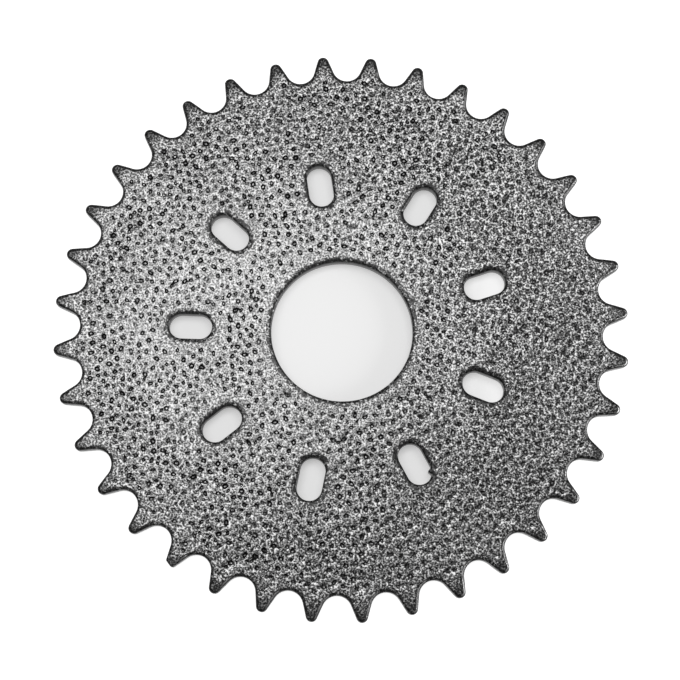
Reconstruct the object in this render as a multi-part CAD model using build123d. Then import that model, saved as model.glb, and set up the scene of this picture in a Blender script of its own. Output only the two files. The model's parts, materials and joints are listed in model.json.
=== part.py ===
from build123d import *
from math import acos, atan2, cos, degrees, radians, sin, tan
import os

# A flat chain sprocket: one steel plate with teeth for half-inch roller chain, a plain round bore,
# and a ring of short radial slots for the bolts that clamp it to a hub.
# All sizes are in millimetres and degrees. The plate lies on its back face at z = 0, with the bore
# on the z axis and a tooth tip on the x axis.

# Teeth
chain_pitch = 12.7
roller_diameter = 7.75
roller_clearance = 0.05      # on the radius, between a roller and the seat it drops into
tooth_count = 36
tooth_rise = 3.1             # from the pitch circle out to the tooth tips
tip_rounding = 1.5           # radius of a tip's outline
tooth_thinning = 0.5         # taken off each side at the tips, to lead the chain's plates on
thinning_width = 3.36        # how far in from the tips the sides start to thin

# Plate
plate_thickness = 4.0
edge_break = 0.45            # bevel on both edges of the bore and the slots

# Bore and bolt slots
bore_diameter = 37.4
slot_count = 9
slot_width = 6.6
slot_length = 11.3           # end to end
slot_circle_diameter = 79.8  # through the middles of the slots
slot_start_angle = 14.4      # from the tooth tip on the x axis to the first slot

# The one damaged tooth, whose tip is knocked off along a slanting line
clipped_tooth = 23           # counted from the tooth on the x axis
clip_depth = 0.45            # off the tip, on the tooth's own axis
clip_slope = 16.0            # from square across the tooth
break_rounding = 0.75        # of the two corners of the break, more than the edges' own rounding

tooth_step = 360 / tooth_count
pitch_radius = chain_pitch / 2 / sin(radians(tooth_step / 2))
seat_radius = roller_diameter / 2 + roller_clearance
tip_radius = pitch_radius + tooth_rise
flat_radius = tip_radius - thinning_width


def polar(radius, angle):
    return Vector(radius * cos(radians(angle)), radius * sin(radians(angle)))


def mirrored(point):
    """The same point on the other side of the tooth that lies on the x axis."""
    return Vector(point.X, -point.Y)


def break_corner(flank_foot, flank_top):
    """Where a flank of the damaged tooth, drawn on past its rounded tip, meets the slanting break."""
    run = flank_top - flank_foot
    slope = tan(radians(clip_slope))
    reach = (tip_radius - clip_depth + slope * flank_foot.Y - flank_foot.X) / (run.X - slope * run.Y)
    return flank_foot + run * reach


def tooth_and_gap(number):
    """One tooth and the gap after it: a flank, the tip, the other flank and a roller seat."""
    tip_centre = Vector(tip_radius - tip_rounding, 0)
    seat_centre = polar(pitch_radius, tooth_step / 2)
    # The straight flank touches the tip's circle on one side and the roller seat's on the other
    across = seat_centre - tip_centre
    lean = atan2(across.Y, across.X) - acos((tip_rounding + seat_radius) / across.length)
    flank_normal = polar(1, degrees(lean))
    top = tip_centre + flank_normal * tip_rounding
    foot = seat_centre - flank_normal * seat_radius
    seat_bottom = polar(pitch_radius - seat_radius, tooth_step / 2)
    next_foot = mirrored(foot).rotate(Axis.Z, tooth_step)
    with BuildLine() as cell:
        if number == clipped_tooth:
            first_corner = break_corner(mirrored(foot), mirrored(top))
            last_corner = break_corner(foot, top)
            FilletPolyline(mirrored(foot), first_corner, last_corner, foot, radius=break_rounding)
        else:
            Line(mirrored(foot), mirrored(top))
            ThreePointArc(mirrored(top), (tip_radius, 0), top)
            Line(top, foot)
        ThreePointArc(foot, seat_bottom, next_foot)
    return [Rot(0, 0, number * tooth_step) * edge for edge in cell.edges()]


def toothed_outline():
    """The plate's outer edge, seen along its bore."""
    return make_face([edge for number in range(tooth_count) for edge in tooth_and_gap(number)])


def turned_blank():
    """A round blank, bevelled on both sides at its rim, so that the teeth's tips are thinner."""
    overhang = tip_rounding      # past the tips, so that the blank only trims the teeth's sides
    rim_radius = tip_radius + overhang
    rim_drop = tooth_thinning * (rim_radius - flat_radius) / thinning_width
    section = Plane.XZ * Polygon(
        (0, 0),
        (flat_radius, 0),
        (rim_radius, rim_drop),
        (rim_radius, plate_thickness - rim_drop),
        (flat_radius, plate_thickness),
        (0, plate_thickness),
        align=None,
    )
    return revolve(section, Axis.Z)


def openings():
    """The bore and the ring of radial slots, seen along the bore."""
    slots = [
        Rot(0, 0, slot_start_angle + number * 360 / slot_count)
        * Pos(slot_circle_diameter / 2, 0)
        * SlotOverall(slot_length, slot_width)
        for number in range(slot_count)
    ]
    return Circle(bore_diameter / 2) + slots


def sprocket():
    plate = extrude(toothed_outline(), plate_thickness) & turned_blank()
    plate -= extrude(openings(), plate_thickness)
    hole_rims = [rim for face in plate.faces().filter_by(Plane.XY) for rim in face.inner_wires()]
    return chamfer([edge for rim in hole_rims for edge in rim.edges()], edge_break)


os.makedirs("parts", exist_ok=True)
export_step(sprocket(), "parts/sprocket.step")
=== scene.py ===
import json
import math
from types import SimpleNamespace

import bmesh
import bpy
import numpy as np
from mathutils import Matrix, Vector, kdtree
from mathutils.geometry import delaunay_2d_cdt


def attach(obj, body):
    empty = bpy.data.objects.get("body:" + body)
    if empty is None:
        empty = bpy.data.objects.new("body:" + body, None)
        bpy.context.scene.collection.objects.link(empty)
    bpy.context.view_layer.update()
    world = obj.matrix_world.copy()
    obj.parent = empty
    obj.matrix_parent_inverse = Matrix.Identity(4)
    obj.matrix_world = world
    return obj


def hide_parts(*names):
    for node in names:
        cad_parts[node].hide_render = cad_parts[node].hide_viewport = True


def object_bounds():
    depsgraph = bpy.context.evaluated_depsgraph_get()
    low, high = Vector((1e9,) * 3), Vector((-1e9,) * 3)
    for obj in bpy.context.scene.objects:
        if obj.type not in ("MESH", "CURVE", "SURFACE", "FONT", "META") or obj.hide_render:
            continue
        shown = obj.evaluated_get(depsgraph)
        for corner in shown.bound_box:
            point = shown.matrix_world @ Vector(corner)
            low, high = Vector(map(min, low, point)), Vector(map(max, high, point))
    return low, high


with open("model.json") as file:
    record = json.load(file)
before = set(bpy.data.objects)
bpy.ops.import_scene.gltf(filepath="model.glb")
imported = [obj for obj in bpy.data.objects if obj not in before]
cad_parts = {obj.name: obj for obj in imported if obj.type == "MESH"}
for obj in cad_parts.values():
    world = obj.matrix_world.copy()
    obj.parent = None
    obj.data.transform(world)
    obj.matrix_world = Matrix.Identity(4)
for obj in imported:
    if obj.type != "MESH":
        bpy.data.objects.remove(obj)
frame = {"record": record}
cadLow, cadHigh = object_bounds()
mm = 0.001
mounts = {mount["name"]: mount["dims"] for mount in frame["record"]["mounts"]}


# node trees written as maths
class Socket:  # one output of a node, so that maths on it adds its own nodes
    def __init__(self, tree, out):
        self.tree, self.out = tree, out

    def __add__(self, other):
        return self.tree.maths("ADD", self, other)

    def __radd__(self, other):
        return self.tree.maths("ADD", other, self)

    def __sub__(self, other):
        return self.tree.maths("SUBTRACT", self, other)

    def __rsub__(self, other):
        return self.tree.maths("SUBTRACT", other, self)

    def __mul__(self, other):
        return self.tree.maths("MULTIPLY", self, other)

    def __rmul__(self, other):
        return self.tree.maths("MULTIPLY", other, self)

    def __truediv__(self, other):
        return self.tree.maths("DIVIDE", self, other)

    def __rtruediv__(self, other):
        return self.tree.maths("DIVIDE", other, self)

    def atLeast(self, other):
        return self.tree.maths("MAXIMUM", self, other)

    def atMost(self, other):
        return self.tree.maths("MINIMUM", self, other)

    def towards(self, direction):  # how far a vector reaches in a direction
        return self.tree.maths("DOT_PRODUCT", self, direction)

    def between(self, low, high):  # 0 at low, 1 at high, smooth
        values = {"Value": self, "From Min": low, "From Max": high}
        return self.tree.node("ShaderNodeMapRange", {"interpolation_type": "SMOOTHSTEP"}, values)

    def ramp(self, low, high):  # low where this is 0, high where it is 1, straight
        return low + self * (high - low)

    def axis(self, name):  # one number of a vector
        return self.tree.node("ShaderNodeSeparateXYZ", {}, {0: self}, name)


def pick(sockets, wanted):  # one of a node's sockets, by name, or by number among those in use
    shown = [socket for socket in sockets if socket.enabled]
    return shown[wanted] if isinstance(wanted, int) else next(s for s in shown if s.name == wanted)


class Tree:  # a shader or geometry node tree
    def __init__(self, nodeTree):
        self.nodeTree = nodeTree

    def node(self, kind, settings=None, values=None, output=0):  # any node: settings first, then sockets
        made = self.nodeTree.nodes.new(kind)
        for name, value in (settings or {}).items():
            setattr(made, name, value)
        for name, value in (values or {}).items():
            socket = pick(made.inputs, name)
            for part in value if isinstance(value, list) else [value]:
                if isinstance(part, Socket):
                    self.nodeTree.links.new(part.out, socket)
                else:
                    socket.default_value = part
        return Socket(self, pick(made.outputs, output)) if made.outputs else None

    def maths(self, operation, *terms):  # on numbers, or on vectors where a term is one
        isVector = any(isinstance(term, Socket) and term.out.type in ("VECTOR", "RGBA") for term in terms)
        kind = "ShaderNodeVectorMath" if isVector else "ShaderNodeMath"
        return self.node(kind, {"operation": operation}, dict(enumerate(terms)))

    def mix(self, factor, first, second):  # of two colours
        values = {"Factor": factor, "A": first, "B": second}
        return self.node("ShaderNodeMix", {"data_type": "RGBA"}, values)

    def noise(self, place, scale, detail=2.0, output=0):  # a cloudy pattern from 0 to 1
        values = {"Vector": place, "Scale": scale, "Detail": detail}
        return self.node("ShaderNodeTexNoise", {}, values, output)

    def cells(self, place, scale, output):  # uneven cells in the plane of the plate
        settings = {"feature": "F1", "voronoi_dimensions": "2D"}
        return self.node("ShaderNodeTexVoronoi", settings, {"Vector": place, "Scale": scale}, output)


socketKinds = {"geometry": "NodeSocketGeometry", "object": "NodeSocketObject",
               "material": "NodeSocketMaterial", "number": "NodeSocketFloat", "count": "NodeSocketInt"}


def geometryTree(name, inputs):  # an empty tree with named inputs, and those inputs by name
    nodeTree = bpy.data.node_groups.new(name, "GeometryNodeTree")
    nodeTree.interface.new_socket("Geometry", in_out="OUTPUT", socket_type=socketKinds["geometry"])
    for title, kind in inputs.items():
        nodeTree.interface.new_socket(title, in_out="INPUT", socket_type=socketKinds[kind])
    tree = Tree(nodeTree)
    entry = nodeTree.nodes.new("NodeGroupInput")
    return tree, {title: Socket(tree, entry.outputs[title]) for title in inputs}


def finishTree(tree, geometry, material):
    real = tree.node("GeometryNodeRealizeInstances", {}, {0: geometry})
    painted = tree.node("GeometryNodeSetMaterial", {}, {"Geometry": real, "Material": material})
    tree.node("NodeGroupOutput", {}, {0: painted})
    return tree.nodeTree


def shaderTree(owner):  # the emptied node tree of a material or the world
    owner.use_nodes = True
    owner.node_tree.nodes.clear()
    return Tree(owner.node_tree)


def grown(host, nodeTree, values):  # the plain mesh that a tree makes of an object
    modifier = host.modifiers.new(nodeTree.name, "NODES")
    modifier.node_group = nodeTree
    for item in nodeTree.interface.items_tree:
        if item.in_out == "INPUT" and item.name in values:
            modifier[item.identifier] = values[item.name]
    host.update_tag()
    bpy.context.view_layer.update()
    mesh = bpy.data.meshes.new_from_object(host.evaluated_get(bpy.context.evaluated_depsgraph_get()))
    host.modifiers.remove(modifier)
    return mesh


def meshObject(name, points, faces):  # points in millimetres
    mesh = bpy.data.meshes.new(name)
    mesh.from_pydata((np.asarray(points, float) * mm).tolist(), [], faces)
    made = bpy.data.objects.new(name, mesh)
    bpy.context.scene.collection.objects.link(made)
    return made


def discard(*used):
    for each in used:
        bpy.data.objects.remove(each)


# the plate's outline
plate = {
    "thickness": (cadHigh.z - cadLow.z) / mm,
    "tipRadius": cadHigh.x / mm,
    "toothCount": mounts["chain_teeth"]["count"],
    "pitchRadius": mounts["chain_teeth"]["pcd_mm"] / 2,
    "seatRadius": 3.925,        # where a roller sits
    "seatSteps": 6,
    "tipRounding": 1.5,
    "tipSteps": 8,
    "thinning": 0.5,            # off each side at the tips
    "thinningWidth": 3.36,
    "brokenTooth": 23,          # its tip is knocked off
    "breakDepth": 0.45,         # below the other tips
    "breakSlope": 16.0,         # degrees
    "breakRounding": 0.75,
    "breakSteps": 4,
    "breakReach": 2.4,          # how far in from the tips the break's corners lie
    "breakTighter": 0.45,       # less paint rounding there, because the corners are tight
    "boreRadius": mounts["bore"]["r_mm"],
    "boreSteps": 180,
    "slotCount": mounts["bolt_slots"]["count"],
    "slotCircle": mounts["bolt_slots"]["pcd_mm"] / 2,
    "slotRadius": mounts["bolt_slots"]["hole_r_mm"],
    "slotLength": mounts["bolt_slots"]["slot_length_mm"],
    "slotSteps": 16,
    "firstSlot": 14.4,          # degrees, as is the nick's turn
    "roundIn": 0.95,            # the painted edges: how far in from the outline the rounding starts
    "roundDown": 0.5,           # and how far down the side it ends
    "roundSteps": 4,
    "holeRounding": 0.55,       # wider still round the holes, on the front
    "roundWander": 0.16,        # how unevenly the paint rounds the edges
    "nibSlot": 7,               # a nib of paint sticks out into this slot
    "nibPlace": (3.39, 2.42),   # from the slot's middle, outwards and to the left
    "nibReach": 0.28,
    "nibHeight": 0.9,
    "nibSteps": 48,
    "nickTurn": 21.5,           # a shallow nick in the bore's front edge
    "nickReach": 4.2,           # degrees to each side
    "nickWidth": 1.0,
    "crestRadii": (73.4, 74.6),     # mesh points along the middle of a tooth's thinned part
    "brokenCrest": 74.0,        # the upper one on the broken tooth
    "footSpread": 0.8,          # and beside its foot
    "pointGap": 0.75,           # along straight edges
    "weldGap": 0.002,
}
flatRadius = plate["tipRadius"] - plate["thinningWidth"]


def polar(radius, degrees):
    return np.array([radius * math.cos(math.radians(degrees)), radius * math.sin(math.radians(degrees))])


def arc(centre, radius, start, end, steps, hollow=False):  # points and their normals out of the metal
    turns = np.radians(np.linspace(start, end, steps + 1))
    spokes = np.stack([np.cos(turns), np.sin(turns)], 1)
    return np.asarray(centre) + spokes * radius, -spokes if hollow else spokes


def path(arcs):  # arcs joined by straight edges
    points, normals = [], []
    for corners, outwards in arcs:
        if points:
            start, run = points[-1], corners[0] - points[-1]
            steps = max(1, round(float(np.hypot(*run)) / plate["pointGap"]))
            for step in range(1, steps):
                points.append(start + run * step / steps)
                normals.append(outwards[0])
        points.extend(corners)
        normals.extend(outwards)
    return np.array(points), np.array(normals)


def thinned(points):  # how much each side is lowered towards the tips
    reach = np.hypot(points[:, 0], points[:, 1]) - flatRadius
    return plate["thinning"] * np.maximum(reach, 0) / plate["thinningWidth"]


def wall(name, points, normals, seed, closed=False, front=0.0, back=0.0):  # the side and its rounded edges
    rows = []
    wander = np.random.default_rng(seed).uniform(-1, 1, len(points)) * plate["roundWander"]
    if not closed:  # a tooth's ends fit its neighbours
        wander[[0, 1, -2, -1]] = 0
    turns = np.radians(np.linspace(0, 90, plate["roundSteps"] + 1))
    for side in (1, -1):
        roundIn = plate["roundIn"] + wander * side + (front if side > 0 else back)
        for turn in turns if side > 0 else turns[::-1]:
            at = points - normals * (roundIn * (1 - math.sin(turn)))[:, None]
            drop = thinned(at) + plate["roundDown"] * (1 - math.cos(turn))
            height = plate["thickness"] - drop if side > 0 else drop
            rows.append(np.column_stack([at, height]))
    count = len(points)
    last = count if closed else count - 1
    faces = [(row * count + step, (row + 1) * count + step, (row + 1) * count + (step + 1) % count,
              row * count + (step + 1) % count) for row in range(len(rows) - 1) for step in range(last)]
    if closed:  # a hole's wall faces its middle
        faces = [face[::-1] for face in faces]
    return meshObject(name, np.concatenate(rows), faces)


def toothOutlines():  # a whole tooth and the broken one, each from seat bottom to seat bottom
    tipCentre = np.array([plate["tipRadius"] - plate["tipRounding"], 0])
    halfStep = 180 / plate["toothCount"]
    seatCentre = polar(plate["pitchRadius"], halfStep)
    across = seatCentre - tipCentre
    lean = math.degrees(math.atan2(across[1], across[0])
                        - math.acos((plate["tipRounding"] + plate["seatRadius"]) / np.hypot(*across)))
    mirrored = np.array([1, -1])
    seat, steps = plate["seatRadius"], plate["seatSteps"]
    seatIn = arc(seatCentre * mirrored, seat, 180 - halfStep, 180 - lean, steps, True)
    seatOut = arc(seatCentre, seat, 180 + lean, 180 + halfStep, steps, True)
    tip = arc(tipCentre, plate["tipRounding"], -lean, lean, plate["tipSteps"])
    slope, rounding = plate["breakSlope"], plate["breakRounding"]
    breakNormal = polar(1, -slope)
    breakPoint = np.array([plate["tipRadius"] - plate["breakDepth"], 0])
    foot = seatCentre - polar(seat, lean)
    corners = []
    for side, turn in ((mirrored, -lean), (np.array([1, 1]), lean)):
        flankNormal = polar(1, turn)
        limits = [flankNormal @ (foot * side) - rounding, breakNormal @ breakPoint - rounding]
        centre = np.linalg.solve(np.stack([flankNormal, breakNormal]), limits)
        ends = (turn, -slope) if turn < 0 else (-slope, turn)
        corners.append(arc(centre, rounding, *ends, plate["breakSteps"]))
    return path([seatIn, tip, seatOut]), path([seatIn, *corners, seatOut])


def slotOutline(steps):  # with this many steps round its outer end
    halfLength = plate["slotLength"] / 2 - plate["slotRadius"]
    points, normals = path([arc((halfLength, 0), plate["slotRadius"], -90, 90, steps, True),
                            arc((-halfLength, 0), plate["slotRadius"], 90, 270, plate["slotSteps"], True),
                            arc((halfLength, 0), plate["slotRadius"], -90, -90, 0, True)])
    return points[:-1], normals[:-1]


def aroundBore():  # the tree that sets the teeth and slots round the bore
    tree, given = geometryTree("aroundBore", {
        "Bore": "geometry", "Tooth": "object", "Broken Tooth": "object", "Slot": "object",
        "Tooth Count": "count", "Broken Tooth Number": "count", "Slot Count": "count",
        "Marked Slot": "object", "Marked Slot Number": "count",
        "Slot Circle Radius": "number", "First Slot Turn": "number", "Weld Gap": "number",
        "Paint": "material"})
    number = tree.node("GeometryNodeInputIndex")

    def copies(source, count, radius, start, chosen):
        turn = number * (2 * math.pi) / count + start
        across, up = tree.maths("COSINE", turn) * radius, tree.maths("SINE", turn) * radius
        place = tree.node("ShaderNodeCombineXYZ", {}, {"X": across, "Y": up})
        points = tree.node("GeometryNodePoints", {}, {"Count": count, "Position": place})
        shape = tree.node("GeometryNodeObjectInfo", {}, {"Object": source}, "Geometry")
        turned = tree.node("ShaderNodeCombineXYZ", {}, {"Z": turn})
        return tree.node("GeometryNodeInstanceOnPoints", {},
                         {"Points": points, "Instance": shape, "Rotation": turned, "Selection": chosen})

    def oneAndRest(wanted):
        isIt = tree.node("FunctionNodeCompare", {"data_type": "INT", "operation": "EQUAL"},
                         {"A": number, "B": wanted})
        return isIt, tree.node("FunctionNodeBooleanMath", {"operation": "NOT"}, {0: isIt})

    isBroken, isWhole = oneAndRest(given["Broken Tooth Number"])
    isMarked, isPlain = oneAndRest(given["Marked Slot Number"])
    slotRing = (given["Slot Count"], given["Slot Circle Radius"], given["First Slot Turn"])
    teeth = copies(given["Tooth"], given["Tooth Count"], 0.0, 0.0, isWhole)
    broken = copies(given["Broken Tooth"], given["Tooth Count"], 0.0, 0.0, isBroken)
    slots = copies(given["Slot"], *slotRing, isPlain)
    marked = copies(given["Marked Slot"], *slotRing, isMarked)
    joined = tree.node("GeometryNodeJoinGeometry", {}, {0: [given["Bore"], teeth, broken, slots, marked]})
    real = tree.node("GeometryNodeRealizeInstances", {}, {0: joined})
    welded = tree.node("GeometryNodeMergeByDistance", {}, {"Geometry": real, "Distance": given["Weld Gap"]})
    return finishTree(tree, welded, given["Paint"])


def plateWalls(paint):  # the walls of all teeth, the bore and the slots, in one mesh
    wholeTooth, brokenTooth = toothOutlines()
    markedPoints, markedNormals = slotOutline(plate["nibSteps"])
    away = np.hypot(*(markedPoints - plate["nibPlace"]).T) / plate["nibReach"]
    away = np.maximum(away - away.min(), 0)
    markedPoints = markedPoints + markedNormals * (plate["nibHeight"] * np.exp(-away ** 2))[:, None]
    borePoints, boreNormals = arc((0, 0), plate["boreRadius"], 0, 360, plate["boreSteps"], True)
    boreTurn = np.linspace(0, 360, plate["boreSteps"], endpoint=False) - plate["nickTurn"]
    nick = plate["holeRounding"] + plate["nickWidth"] * np.exp(-(boreTurn / plate["nickReach"]) ** 4)
    atBreak = np.hypot(*brokenTooth[0].T) > plate["tipRadius"] - plate["breakReach"]
    tighter = np.where(atBreak, -plate["breakTighter"], 0.0)
    wider = plate["holeRounding"]
    bore = wall("boreWall", borePoints[:-1], boreNormals[:-1], seed=1, closed=True, front=nick)
    tooth = wall("toothWall", *wholeTooth, seed=2)
    broken = wall("brokenToothWall", *brokenTooth, seed=3, front=tighter, back=tighter)
    slot = wall("slotWall", *slotOutline(plate["slotSteps"]), seed=4, closed=True, front=wider)
    marked = wall("markedSlotWall", markedPoints, markedNormals, seed=5, closed=True, front=wider)
    mesh = grown(bore, aroundBore(), {
        "Tooth": tooth, "Broken Tooth": broken, "Slot": slot, "Marked Slot": marked,
        "Tooth Count": plate["toothCount"], "Broken Tooth Number": plate["brokenTooth"],
        "Slot Count": plate["slotCount"], "Marked Slot Number": plate["nibSlot"],
        "Slot Circle Radius": plate["slotCircle"] * mm,
        "First Slot Turn": math.radians(plate["firstSlot"]),
        "Weld Gap": plate["weldGap"] * mm, "Paint": paint})
    discard(bore, tooth, broken, slot, marked)
    return mesh


# the dimpled faces
dimples = {
    "largeGap": 2.45,           # least distance between two large dimples
    "smallGap": 1.30,
    "keepOff": 1.42,            # of a small dimple from a large one
    "tries": 4.0,               # on each square millimetre, before the gaps thin them out
    "largeRadius": (0.78, 1.12),
    "smallRadius": (0.52, 0.74),
    "stretch": (1.0, 1.75),     # length over width
    "edgeRoom": 0.15,           # from a dimple to the paint's rounded edges
    "teethRoom": 0.1,           # from a dimple's middle to the thinned teeth
    "frontSeed": 11,
    "backSeed": 47,
    "rim": {"frontCount": 7, "backCount": 6, "share": 1.0, "wobble": 0.16},     # rings of mesh points
    "floor": {"frontCount": 4, "backCount": 1, "share": 0.22, "wobble": 0.10},
    "leastGap": 0.13,           # between two mesh points
    "wallFoot": 0.30,           # in radii: where a dimple's wall starts
    "wallTop": 0.83,            # and ends
    "rimHighlightReach": 1.25,          # and how far out its painted highlight goes
    "rimHighlight": 0.4,                # how light that painted highlight is
    "depth": (0.08, 0.26),      # for each millimetre of the radius and deeperBy together
    "deeperBy": 0.6,
    "depthPower": 1.2,          # more than 1 gives more shallow dimples
    "largeFrom": 0.70,          # from this radius a dimple is painted as a large one
    "largeStrength": (0.85, 1.0),   # how dark a shallow and a deep one are
    "smallStrength": (0.55, 1.0),
}


def paintDimples():  # the tree that scatters the dimples over a face
    tree, given = geometryTree("paintDimples", {
        "Face": "geometry", "Large Gap": "number", "Small Gap": "number", "Keep Off": "number",
        "Tries": "number", "Large Radius Low": "number", "Large Radius High": "number",
        "Small Radius Low": "number", "Small Radius High": "number",
        "Stretch Low": "number", "Stretch High": "number", "Seed": "count", "Paint": "material"})

    def scattered(gap, low, high, shift):  # points with their traits, each from a seed of its own
        points = tree.node("GeometryNodeDistributePointsOnFaces", {"distribute_method": "POISSON"},
                           {"Mesh": given["Face"], "Distance Min": gap, "Density Max": given["Tries"],
                            "Density Factor": 1.0, "Seed": given["Seed"] + shift})
        traits = {"size": (low, high), "turn": (0.0, math.pi),
                  "stretch": (given["Stretch Low"], given["Stretch High"]), "depth": (0.0, 1.0)}
        for name, (least, most) in traits.items():
            shift += 1
            value = tree.node("FunctionNodeRandomValue", {"data_type": "FLOAT"},
                              {"Min": least, "Max": most, "Seed": given["Seed"] + shift})
            points = tree.node("GeometryNodeStoreNamedAttribute", {"data_type": "FLOAT", "domain": "POINT"},
                               {"Geometry": points, "Name": name, "Value": value})
        return points

    large = scattered(given["Large Gap"], given["Large Radius Low"], given["Large Radius High"], 0)
    small = scattered(given["Small Gap"], given["Small Radius Low"], given["Small Radius High"], 10)
    away = tree.node("GeometryNodeProximity", {"target_element": "POINTS"}, {0: large}, "Distance")
    crowded = tree.node("FunctionNodeCompare", {"data_type": "FLOAT", "operation": "LESS_THAN"},
                        {"A": away, "B": given["Keep Off"]})
    thinnedOut = tree.node("GeometryNodeDeleteGeometry", {"domain": "POINT"}, {0: small, 1: crowded})
    joined = tree.node("GeometryNodeJoinGeometry", {}, {0: [large, thinnedOut]})
    return finishTree(tree, tree.node("GeometryNodePointsToVertices", {}, {0: joined}), given["Paint"])


def within(spots, starts, ends):  # which spots lie inside closed lines of straight edges
    x, y = spots[:, 0, None], spots[:, 1, None]
    isCrossed = (starts[:, 1] > y) != (ends[:, 1] > y)
    run = np.where(ends[:, 1] == starts[:, 1], 1.0, ends[:, 1] - starts[:, 1])
    across = starts[:, 0] + (ends[:, 0] - starts[:, 0]) * (y - starts[:, 1]) / run
    return (isCrossed & (x < across)).sum(1) % 2 == 1


def cut(points, edges, rimCount):  # triangles between the points, inside the outline and outside the holes
    flat = [Vector(point) for point in points]
    insideOnly, nearness = 1, 1e-5
    places, _, faces, origins, _, _ = delaunay_2d_cdt(flat, edges, [], insideOnly, nearness)
    places = np.array([tuple(place) for place in places])
    faces = np.array(faces)
    origins = np.array([origin[0] if origin else -1 for origin in origins])
    first, second, third = (places[faces[:, corner]] for corner in range(3))
    isTurned = np.cross(second - first, third - first) < 0
    faces[isTurned] = faces[isTurned][:, ::-1]
    onRim = (origins >= 0) & (origins < rimCount)
    doubtful = np.flatnonzero(onRim[faces].any(1))
    starts, ends = np.asarray(points)[np.array(edges)].transpose(1, 0, 2)
    slotEnd = plate["slotCircle"] + plate["slotLength"] / 2
    isHole = np.hypot(*starts.T) < (slotEnd + flatRadius) / 2
    inHole = np.zeros(len(faces), bool)
    inHole[doubtful] = within(places[faces[doubtful]].mean(1), starts[isHole], ends[isHole])
    return places, faces[~inHole], origins


def openEdges(mesh, upper):  # a wall mesh's points, and its free edges on one face
    points = np.array([vertex.co for vertex in mesh.vertices]) / mm
    uses = np.zeros(len(mesh.edges), int)
    for polygon in mesh.polygons:
        for loop in polygon.loop_indices:
            uses[mesh.loops[loop].edge_index] += 1
    edges = np.array([edge.vertices[:] for edge in mesh.edges])[uses == 1]
    isUpper = points[edges].mean(1)[:, 2] > plate["thickness"] / 2
    return points, edges[isUpper == upper]


def toothPoints():  # a few points that hold the thinned part of each tooth
    spots = []
    lowCrest, highCrest = plate["crestRadii"]
    for number in range(plate["toothCount"]):
        turn = number * 360 / plate["toothCount"]
        top = plate["brokenCrest"] if number == plate["brokenTooth"] else highCrest
        foot = [(flatRadius, aside) for aside in (0, plate["footSpread"], -plate["footSpread"])]
        for radius, aside in (*foot, (lowCrest, 0), (top, 0)):
            spots.append(polar(radius, turn + math.degrees(aside / radius)))
    return np.array(spots)


def searchTree(points):
    near = kdtree.KDTree(len(points))
    for index, point in enumerate(points):
        near.insert((*point, 0), index)
    near.balance()
    return near


def dimplePlaces(outline, edges, seed, paint):  # the middles of a face's dimples, with their traits
    places, faces, _ = cut(outline, edges, len(outline))
    face = meshObject("plainFace", np.column_stack([places, np.zeros(len(places))]), faces.tolist())
    values = {"Large Gap": dimples["largeGap"] * mm, "Small Gap": dimples["smallGap"] * mm,
              "Keep Off": dimples["keepOff"] * mm, "Tries": dimples["tries"] / mm / mm,
              "Seed": seed, "Paint": paint}
    names = {"Large Radius": "largeRadius", "Small Radius": "smallRadius", "Stretch": "stretch"}
    for title, key in names.items():
        values[title + " Low"], values[title + " High"] = dimples[key]
    cloud = grown(face, paintDimples(), values)
    discard(face)
    centres = np.array([vertex.co[:2] for vertex in cloud.vertices]) / mm
    traits = {}
    for name in ("size", "turn", "stretch", "depth"):
        column = np.zeros(len(centres), np.float32)
        cloud.attributes[name].data.foreach_get("value", column)
        traits[name] = column
    traits["stretch"] = np.sqrt(traits["stretch"])  # longer by this, and narrower by it too
    traits["reach"] = traits["size"] * traits["stretch"]
    near = searchTree(outline)
    room = np.array([near.find((*centre, 0))[2] for centre in centres])
    keep = room > traits["reach"] + dimples["edgeRoom"]
    keep &= np.hypot(*centres.T) < flatRadius - dimples["teethRoom"]
    return centres[keep], {name: column[keep] for name, column in traits.items()}


def dimpleRings(centres, traits, upper, seed):  # mesh points round each dimple's rim and floor
    rng = np.random.default_rng(seed)
    cosine, sine = np.cos(traits["turn"])[:, None], np.sin(traits["turn"])[:, None]
    stretch = traits["stretch"][:, None]
    rings = []
    for ring in (dimples["rim"], dimples["floor"]):
        count = ring["frontCount" if upper else "backCount"]
        if count == 1:
            rings.append(centres)
            continue
        angles = np.arange(count) * 2 * math.pi / count + rng.uniform(0, 1, (len(centres), 1))
        uneven = 1 + rng.uniform(-ring["wobble"], ring["wobble"], angles.shape)
        radius = traits["size"][:, None] * ring["share"] * uneven
        along, aside = radius * np.cos(angles) * stretch, radius * np.sin(angles) / stretch
        turned = np.stack([along * cosine - aside * sine, along * sine + aside * cosine], 2)
        rings.append((centres[:, None] + turned).reshape(-1, 2))
    return rings


def spacedOut(points, fixed):  # without those that nearly touch an earlier one; the fixed first ones stay
    near = searchTree(points)
    dropped = np.zeros(len(points), bool)
    for index in range(fixed, len(points)):
        close = near.find_range((*points[index], 0), dimples["leastGap"])
        dropped[index] = any(other < index and not dropped[other] for _, other, _ in close)
    return points[~dropped]


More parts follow.
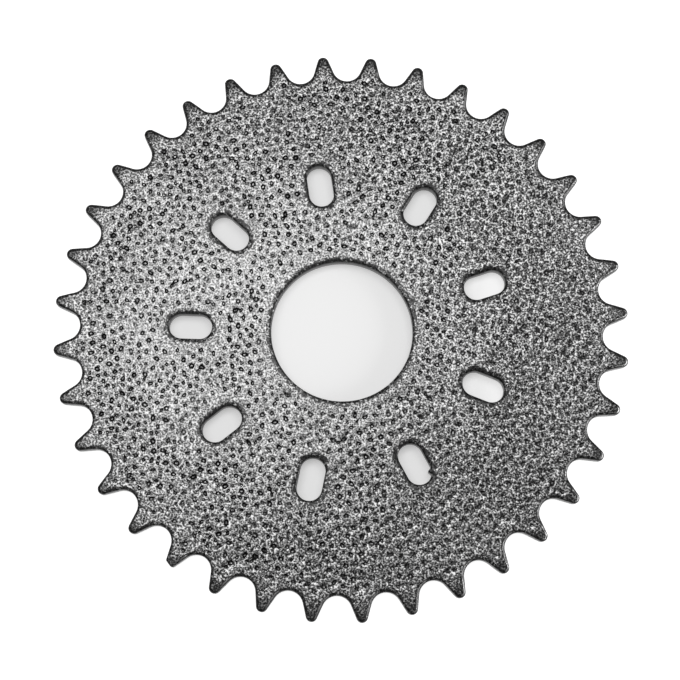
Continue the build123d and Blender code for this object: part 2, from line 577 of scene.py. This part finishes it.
def dimpleDepths(places, centres, traits):  # each point's share of its dimple's depth, depth and darkness
    near = searchTree(centres)
    size, turn, stretch = traits["size"], traits["turn"], traits["stretch"]
    longest = float(traits["reach"].max())
    foot, top = dimples["wallFoot"], dimples["wallTop"]
    low, high = dimples["depth"]
    hollow, sunk, strength = np.zeros((3, len(places)))
    for index, place in enumerate(places):
        for _, other, _ in near.find_range((*place, 0), longest):
            offset = place - centres[other]
            cosine, sine = math.cos(turn[other]), math.sin(turn[other])
            along = (offset[0] * cosine + offset[1] * sine) / (size[other] * stretch[other])
            aside = (offset[1] * cosine - offset[0] * sine) / (size[other] / stretch[other])
            reached = math.hypot(along, aside)
            share = min(1.0, max(0.0, (top - reached) / (top - foot)))
            power = traits["depth"][other] ** dimples["depthPower"]
            if share >= hollow[index] and reached < dimples["rimHighlightReach"]:
                isLarge = size[other] > dimples["largeFrom"]
                weak, strong = dimples["largeStrength" if isLarge else "smallStrength"]
                hollow[index] = share if share > 0 else -dimples["rimHighlight"]
                strength[index] = weak + (strong - weak) * power
            depth = share * (low + (high - low) * power) * (dimples["deeperBy"] + size[other])
            sunk[index] = max(sunk[index], depth)
    return hollow, sunk, strength


def dimpledFace(walls, upper, paint):  # points, triangles, the wall points that they use, and the dimples
    wallPoints, wallEdges = openEdges(walls, upper)
    rim = np.unique(wallEdges)
    outline = wallPoints[rim][:, :2]
    edges = [tuple(edge) for edge in np.searchsorted(rim, wallEdges).tolist()]
    seed = dimples["frontSeed" if upper else "backSeed"]
    centres, traits = dimplePlaces(outline, edges, seed, paint)
    print("dimples", len(centres), "front" if upper else "back")
    spots = [outline, toothPoints(), *dimpleRings(centres, traits, upper, seed)]
    points = spacedOut(np.concatenate(spots), len(outline))
    places, faces, origins = cut(points, edges, len(outline))
    onWall = [rim[origin] if 0 <= origin < len(outline) else -1 for origin in origins]
    return places, faces, onWall, *dimpleDepths(places, centres, traits)


def wallShare(points):  # 0 where an edge's rounding starts, 1 on the side
    height = np.minimum(points[:, 2], plate["thickness"] - points[:, 2]) - thinned(points)
    drop = np.clip(height / plate["roundDown"], 0, 1)
    return np.sqrt(1 - (1 - drop) ** 2)


def skin(paint):  # walls, front and back joined into one closed mesh
    walls = plateWalls(paint)
    points = [np.array([vertex.co for vertex in walls.vertices]) / mm]
    faces = [tuple(polygon.vertices) for polygon in walls.polygons]
    hollow, sunk, strength = ([np.zeros(len(points[0]))] for _ in range(3))
    for upper in (True, False):
        places, triangles, onWall, hollows, depths, powers = dimpledFace(walls, upper, paint)
        total = sum(len(part) for part in points)
        isNew = np.array(onWall) < 0
        index = np.where(isNew, total + np.cumsum(isNew) - 1, onWall)
        drop = thinned(places)
        height = plate["thickness"] - drop if upper else drop
        points.append(np.column_stack([places, height])[isNew])
        hollow.append(hollows[isNew])
        sunk.append((depths if upper else -depths)[isNew])
        strength.append(powers[isNew])
        corners = index[triangles if upper else triangles[:, ::-1]]
        faces.extend(tuple(corner) for corner in corners.tolist())
    made = meshObject("sprocket_plate", np.concatenate(points), faces)
    mesh = made.data
    edge = [wallShare(points[0])] + [np.zeros(len(part)) for part in points[1:]]
    for name, values in (("hollow", hollow), ("sunk", sunk), ("strength", strength), ("edge", edge)):
        attribute = mesh.attributes.new(name, "FLOAT", "POINT")
        attribute.data.foreach_set("value", np.concatenate(values).astype(np.float32))
    shape = bmesh.new()
    shape.from_mesh(mesh)
    print("open or turned edges", sum(not edge.is_contiguous for edge in shape.edges))
    shape.free()
    mesh.shade_smooth()
    return made


relief = {
    "depth": 1.0,               # times the dimples' own
    "sag": 0.01,                # of the paint between them, unevenly
    "sagSize": 3.0,             # how wide its waves are
    "seed": 3.0,
}


def paintRelief():  # the tree that sinks the dimples and the paint between them
    tree, given = geometryTree("paintRelief", {
        "Plate": "geometry", "Dimple Depth": "number", "Sag": "number", "Sag Size": "number",
        "Seed": "number", "Paint": "material"})
    sunk, edge = (tree.node("GeometryNodeInputNamedAttribute", {"data_type": "FLOAT"}, {"Name": name})
                  for name in ("sunk", "edge"))
    place = tree.node("GeometryNodeInputPosition")
    noise = tree.node("ShaderNodeTexNoise", {"noise_dimensions": "4D"}, {
        "Vector": place, "W": given["Seed"], "Scale": 1.0 / given["Sag Size"], "Detail": 1.0})
    side = tree.maths("SIGN", place.axis("Z") - cadHigh.z / 2)
    sagged = (noise - 1.0) * given["Sag"] * side * (1.0 - edge)  # inwards only, so that the size holds
    shift = tree.node("ShaderNodeCombineXYZ", {}, {"Z": sagged - sunk * given["Dimple Depth"]})
    moved = tree.node("GeometryNodeSetPosition", {}, {"Geometry": given["Plate"], "Offset": shift})
    return finishTree(tree, moved, given["Paint"])


# hammered paint, in metres: the patterns and places that its layers share
paintMaps = {
    "noiseMiddle": 0.5,
    "wanderPerMetre": 1800.0,   # bends the dots and ridges
    "wander": 0.0003,
    "dotsPerMetre": 1150.0,     # the small dots between the dimples
    "dotOuter": (0.24, 0.54),   # radii of the smallest and the largest dot, in cells
    "dotInner": (0.02, 0.26),   # and of their darkest middles
    "dots": (0.40, 0.85),       # how dark they are at the painted highlight and far from it, where painted shade darkens them
    "ridgesPerMetre": 1850.0,   # the fine ridges
    "ridgeMiddle": 0.42,
    "grainPerMetre": 2700.0,
    "patchesPerMetre": 1100.0,  # uneven paint
    # painted highlight: the paint is coloured lightest round this place, where the softbox's reflection lies
    "highlightPlace": (-0.025, 0.005, 0.004),
    "highlightReach": (0.020, 0.070),    # from there to where the painted highlight fades, and to where it is gone
    "lowerRight": (0.9, -0.44, 0),  # painted shade darkens the paint this way too, and the flanks facing it get a painted highlight
    "lowerRightShadeReach": (0.005, 0.055),
    "toothZone": (0.058, 0.062),    # from the middle: holes lie inside the first, teeth outside the last
}


def sharedMaps(tree):
    place = tree.node("ShaderNodeTexCoord", {}, {}, "Object")
    normal = tree.node("ShaderNodeNewGeometry", {}, {}, "Normal")
    hollow, strength, edge = (tree.node("ShaderNodeAttribute", {"attribute_name": name}, {}, "Fac")
                              for name in ("hollow", "strength", "edge"))
    wander = tree.noise(place, paintMaps["wanderPerMetre"], output="Color")
    bent = place + (wander - (paintMaps["noiseMiddle"],) * 3) * ((paintMaps["wander"] * 2,) * 3)
    spot = tree.cells(bent, paintMaps["dotsPerMetre"], "Distance")
    cell = tree.cells(bent, paintMaps["dotsPerMetre"], "Color")
    chance = tree.node("ShaderNodeSeparateColor", {}, {0: cell})
    dots = spot.between(chance.ramp(*paintMaps["dotOuter"]), chance.ramp(*paintMaps["dotInner"]))
    far = tree.maths("DISTANCE", place, paintMaps["highlightPlace"]).between(*paintMaps["highlightReach"])
    radius = tree.maths("LENGTH", place * (1, 1, 0))
    return SimpleNamespace(
        place=place, normal=normal, hollow=hollow, strength=strength, edge=edge, far=far, radius=radius,
        dots=dots * far.ramp(*paintMaps["dots"]),
        ridges=tree.cells(bent, paintMaps["ridgesPerMetre"], "Distance") - paintMaps["ridgeMiddle"],
        grain=tree.noise(place, paintMaps["grainPerMetre"], detail=1.0),
        patches=tree.noise(place, paintMaps["patchesPerMetre"]) - paintMaps["noiseMiddle"],
        # painted shade towards the lower right
        aside=place.towards(paintMaps["lowerRight"]).between(*paintMaps["lowerRightShadeReach"]),
        teeth=radius.between(*paintMaps["toothZone"]),
        holes=radius.between(*paintMaps["toothZone"][::-1]))


landPaint = {  # the first four pairs are for the painted highlight's place and for the parts far from it
    "dark": (0.05, 0.05, 0.05, 1),
    "light": (0.75, 0.75, 0.75, 1),
    "tone": (0.41, 0.22),
    "ridges": (1.5, 2.1),
    "grain": (1.6, 2.4),
    "rimHighlight": (0.35, 0.50),
    "cloudsPerMetre": 45.0,
    "cloudDetail": 3.0,
    "clouds": 0.35,             # wide, faint unevenness
    "paintedTopLight": 0.05,            # painted light: paler towards the top
    "upReach": (-0.070, 0.070),
    "aside": 0.10,              # painted shade: darker to the lower right
}


def land(tree, maps):  # the colour between the dimples
    look = landPaint
    # painted highlight: the tone is lighter near its place, and the ridges, grain and dimple highlights are
    # stronger away from it
    tone = maps.far.ramp(*look["tone"]) + maps.ridges * maps.far.ramp(*look["ridges"])
    tone = tone + (maps.grain - paintMaps["noiseMiddle"]) * maps.far.ramp(*look["grain"])
    clouds = tree.noise(maps.place, look["cloudsPerMetre"], look["cloudDetail"]) - paintMaps["noiseMiddle"]
    up = maps.place.axis("Y").between(*look["upReach"])
    tone = tone + clouds * look["clouds"] + up * look["paintedTopLight"] - maps.aside * look["aside"]
    # painted highlight round each dimple
    rimHighlight = (maps.hollow * -1.0).atLeast(0.0) * maps.strength
    tone = tone + rimHighlight * maps.far.ramp(*look["rimHighlight"])
    return tree.mix(tone.atLeast(0.0).atMost(1.0), look["dark"], look["light"])


# the dimples' dark rings: dark paint showing in the hollows, and painted shade on their walls, with a
# lighter floor
pitPaintAndShade = {
    "colour": (0.006, 0.006, 0.006, 1),
    "outside": (0.0, 0.10),     # shares of a dimple's depth between which its dark ring starts
    "inside": (0.78, 0.98),     # and ends
    "floor": 0.85,              # how much lighter the floor is
    "ring": 1.18,               # how dark the rings are
    "patches": 1.6,             # and how unevenly
    "fade": (0.76, 1.12),       # in weaker and in stronger areas
    "fadesPerMetre": 75.0,
    "fadeEnds": (0.36, 0.58),
    "aside": 0.15,              # painted light: the rings are weaker to the lower right
}


def darkness(tree, maps):  # 1 in the dimples' dark rings and less in the dots; the rings are dark paint and painted shade on the dimple walls
    look = pitPaintAndShade
    fade = tree.noise(maps.place, look["fadesPerMetre"], detail=1.0).between(*look["fadeEnds"])
    floor = maps.hollow.between(*look["inside"]) * look["floor"]
    ring = maps.hollow.between(*look["outside"]) * (1.0 - floor) * maps.strength
    ring = ring * (look["ring"] + maps.patches * look["patches"]) * fade.ramp(*look["fade"])
    ring = ring.atMost(1.0) * (1.0 - maps.aside * look["aside"])
    return ring.atLeast(maps.dots)


edgePaint = {  # numbers in pairs that have no other note are values of edge, 0 to 1 round an edge
    # painted shade on the thinned tooth tips
    "tip": (0.045, 0.045, 0.045, 1),
    "tipShadeReach": (0.0726, 0.0742),   # from the middle
    "tipShadeWander": 0.0012,
    "tipShadeShare": 0.5,
    # painted shade on the rounded edges, where they reflect the dark room
    "rim": (0.018, 0.018, 0.018, 1),
    "rimShadeEnds": (0.0, 0.40),
    "rimShadeShare": 0.9,
    "unevenEnds": (0.0, 0.12),
    "patches": (3.2, 6.8),          # on the teeth and round the holes
    "far": 0.15,                    # wider rims of painted shade far from the painted highlight
    "teethShadeFacing": (0.5, 0.85, 0),    # teeth have wider rims of painted shade where they face this way
    "teethShadeLean": 0.5,
    "holesLitFacing": (-0.7, 0.7, 0),   # holes have narrower ones where they face this way, towards the light
    "holesLitLean": 0.8,
    "holesThinner": 0.06,
    "lipReflection": (0.12, 0.12, 0.12, 1),   # painted reflection of the table top on the outermost line of the teeth's rounding
    "lipReflectionEnds": (0.76, 0.92),
    "flankHighlight": (0.50, 0.50, 0.50, 1),  # painted highlight on the teeth's flanks that face the lower right
    "flankHighlightFacing": (0.68, 0.86),     # cosines of the angle to it
    "flankHighlightStart": (0.26, 0.38),
    "flankHighlightEnd": (0.72, 0.58),
    "flankHighlightShare": 0.8,
    "flankHighlightPatches": 1.5,
    "side": (0.16, 0.16, 0.16, 1),  # of a wall next to the table top, lightened there by painted bounce light from the table top
    "sideEnds": (0.96, 1.0),
    "bounceLightHeights": (0.0037, 0.0004),    # painted bounce light: from rim colour above to the lighter side colour below
}


def edged(tree, maps, colour):  # lays painted shade on the tips and rims, a painted reflection on the lips, a painted highlight on the flanks that face the lower right, and the sides with painted bounce light low down, over a colour
    look, edge = edgePaint, maps.edge
    tip = (maps.radius + maps.patches * look["tipShadeWander"]).between(*look["tipShadeReach"])
    colour = tree.mix(tip * look["tipShadeShare"], colour, look["tip"])
    teethShadeLean = maps.normal.towards(look["teethShadeFacing"]) * look["teethShadeLean"]
    holesLitLean = maps.normal.towards(look["holesLitFacing"]) * look["holesLitLean"]
    lean = teethShadeLean - maps.holes * (teethShadeLean + holesLitLean + look["holesThinner"])
    # the rims' painted shade: uneven patches, wider or narrower by which way the edges face, and wider far
    # from the painted highlight
    uneven = maps.patches * maps.holes.ramp(*look["patches"]) + lean + maps.far * look["far"]
    rim = (edge + uneven * edge.between(*look["unevenEnds"])).between(*look["rimShadeEnds"])
    colour = tree.mix(rim * look["rimShadeShare"], colour, look["rim"])
    colour = tree.mix(edge.between(*look["lipReflectionEnds"]) * maps.teeth, colour, look["lipReflection"])
    outward = tree.maths("NORMALIZE", maps.normal * (1, 1, 0))
    # painted highlight on the flanks that face the lower right
    flankHighlight = outward.towards(paintMaps["lowerRight"]).between(*look["flankHighlightFacing"])
    flankHighlight = flankHighlight * edge.between(*look["flankHighlightStart"]) * edge.between(*look["flankHighlightEnd"]) * maps.teeth
    flankHighlight = flankHighlight * (look["flankHighlightShare"] + maps.patches * look["flankHighlightPatches"])
    colour = tree.mix(flankHighlight, colour, look["flankHighlight"])
    # painted bounce light low on the sides
    side = tree.mix(maps.place.axis("Z").between(*look["bounceLightHeights"]), look["rim"], look["side"])
    return tree.mix(edge.between(*look["sideEnds"]), colour, side)


gloss = {
    "metallic": 0.65,           # 1 in the dark rings
    "roughness": 0.33,
    "sideRoughness": 0.1,       # more of it on the sides
    "sideEnds": (0.94, 1.0),
    "coat": 0.3,                # none in the dark rings
    "coatRoughness": 0.12,
    "bumpHeight": 0.00006,
    "bumpGrain": 0.2,
    "bumpRidges": 0.5,
    "bumpDots": 0.8,
    "bumpEnds": (1.0, 0.6),     # no bump on the sides
}


def hammeredPaint():
    material = bpy.data.materials.new("hammered_paint")
    tree = shaderTree(material)
    maps = sharedMaps(tree)
    dark = darkness(tree, maps)
    colour = edged(tree, maps, tree.mix(dark, land(tree, maps), pitPaintAndShade["colour"]))
    height = maps.grain * gloss["bumpGrain"] + maps.ridges * gloss["bumpRidges"]
    height = (height - maps.dots * gloss["bumpDots"]) * maps.edge.between(*gloss["bumpEnds"])
    bump = tree.node("ShaderNodeBump", {}, {
        "Strength": 1.0, "Distance": gloss["bumpHeight"], "Height": height})
    shader = tree.node("ShaderNodeBsdfPrincipled", {}, {
        "Base Color": colour, "Metallic": dark.ramp(gloss["metallic"], 1.0),
        "Roughness": gloss["roughness"] + maps.edge.between(*gloss["sideEnds"]) * gloss["sideRoughness"],
        "Coat Weight": gloss["coat"] * (1.0 - dark),
        "Coat Roughness": gloss["coatRoughness"], "Normal": bump})
    tree.node("ShaderNodeOutputMaterial", {}, {"Surface": shader})
    return material


# table top, light and camera
studio = {
    "floorColour": (0.80, 0.80, 0.80, 1),
    "floorReach": 3000,         # millimetres, as is the drop
    "floorDrop": 0.02,          # under the plate
    "seenWhite": 0.92,          # added for the eye and in reflections, to make the table top plain white
    "seenUnder": 0.40,          # the same under the plate, where the table top is greyer
    # painted light: the table top is seen lighter under the right-hand slots
    "litUnderRight": 0.56,
    "underReach": (0.050, 0.066),   # from the middle: from the grey to the white
    "litRightReach": (0.028, 0.042),
    "worldLevel": 0.16,
    "softbox": {"place": (-0.03, 0.105, 0.50), "wide": 0.66, "deep": 0.24, "power": 1.14},
    "glint": {"place": (0.50, -0.12, 0.16), "wide": 0.30, "deep": 0.20, "power": 1.1},
    "sensor": 36.0,
    "lens": 85.50,
    "nearestSeen": 0.01,
    "cameraPlace": (-13.59, -76.89, 421.914),   # millimetres
    "cameraTurn": (10.196, -1.052, -3.969),
}


def tableTop():
    reach, drop = studio["floorReach"], studio["floorDrop"]
    corners = [(x * reach, y * reach, -drop) for x, y in ((-1, -1), (1, -1), (1, 1), (-1, 1))]
    floor = meshObject("table_top", corners, [(0, 1, 2, 3)])
    material = bpy.data.materials.new("white_table")
    tree = shaderTree(material)
    matt = tree.node("ShaderNodeBsdfDiffuse", {}, {"Color": studio["floorColour"]})
    straight, mirrored, through = (tree.node("ShaderNodeLightPath", {}, {}, f"Is {way} Ray")
                                   for way in ("Camera", "Glossy", "Transmission"))
    seen = straight.atLeast(mirrored).atLeast(through)
    place = tree.node("ShaderNodeTexCoord", {}, {}, "Object")
    away = tree.maths("LENGTH", place).between(*studio["underReach"])
    right = place.axis("X").between(*studio["litRightReach"])
    under = right.ramp(studio["seenUnder"], studio["litUnderRight"])
    level = under + away * (studio["seenWhite"] - under)
    glow = tree.node("ShaderNodeEmission", {}, {"Color": (1, 1, 1, 1), "Strength": seen * level})
    surface = tree.node("ShaderNodeAddShader", {}, {0: matt, 1: glow})
    tree.node("ShaderNodeOutputMaterial", {}, {"Surface": surface})
    floor.data.materials.append(material)


def lightAndCamera():
    scene = bpy.context.scene
    scene.view_settings.view_transform = "Standard"
    world = bpy.data.worlds.new("studio")
    tree = shaderTree(world)
    sky = tree.node("ShaderNodeBackground", {}, {"Color": (1, 1, 1, 1), "Strength": studio["worldLevel"]})
    tree.node("ShaderNodeOutputWorld", {}, {"Surface": sky})
    scene.world = world
    for name in ("softbox", "glint"):
        box = studio[name]
        lamp = bpy.data.lights.new(name, "AREA")
        lamp.shape, lamp.size, lamp.size_y, lamp.energy = "RECTANGLE", box["wide"], box["deep"], box["power"]
        light = bpy.data.objects.new(name, lamp)
        light.location = box["place"]
        light.rotation_euler = (-Vector(box["place"])).to_track_quat("-Z", "Y").to_euler()
        scene.collection.objects.link(light)
    lens = bpy.data.cameras.new("camera")
    lens.sensor_width, lens.lens, lens.clip_start = studio["sensor"], studio["lens"], studio["nearestSeen"]
    camera = bpy.data.objects.new("camera", lens)
    camera.location = [value * mm for value in studio["cameraPlace"]]
    camera.rotation_euler = [math.radians(value) for value in studio["cameraTurn"]]
    scene.collection.objects.link(camera)
    scene.camera = camera


tableTop()
lightAndCamera()
print("table top, light and camera")
paint = hammeredPaint()
print("paint")
sprocket = skin(paint)
print("plate skin", len(sprocket.data.vertices), "points")
sprocket.data = grown(sprocket, paintRelief(), {
    "Dimple Depth": relief["depth"] * mm, "Sag": relief["sag"] * mm,
    "Sag Size": relief["sagSize"] * mm, "Seed": relief["seed"], "Paint": paint})
print("plate", sum(len(polygon.vertices) - 2 for polygon in sprocket.data.polygons), "triangles")
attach(sprocket, "root")
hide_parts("sprocket")
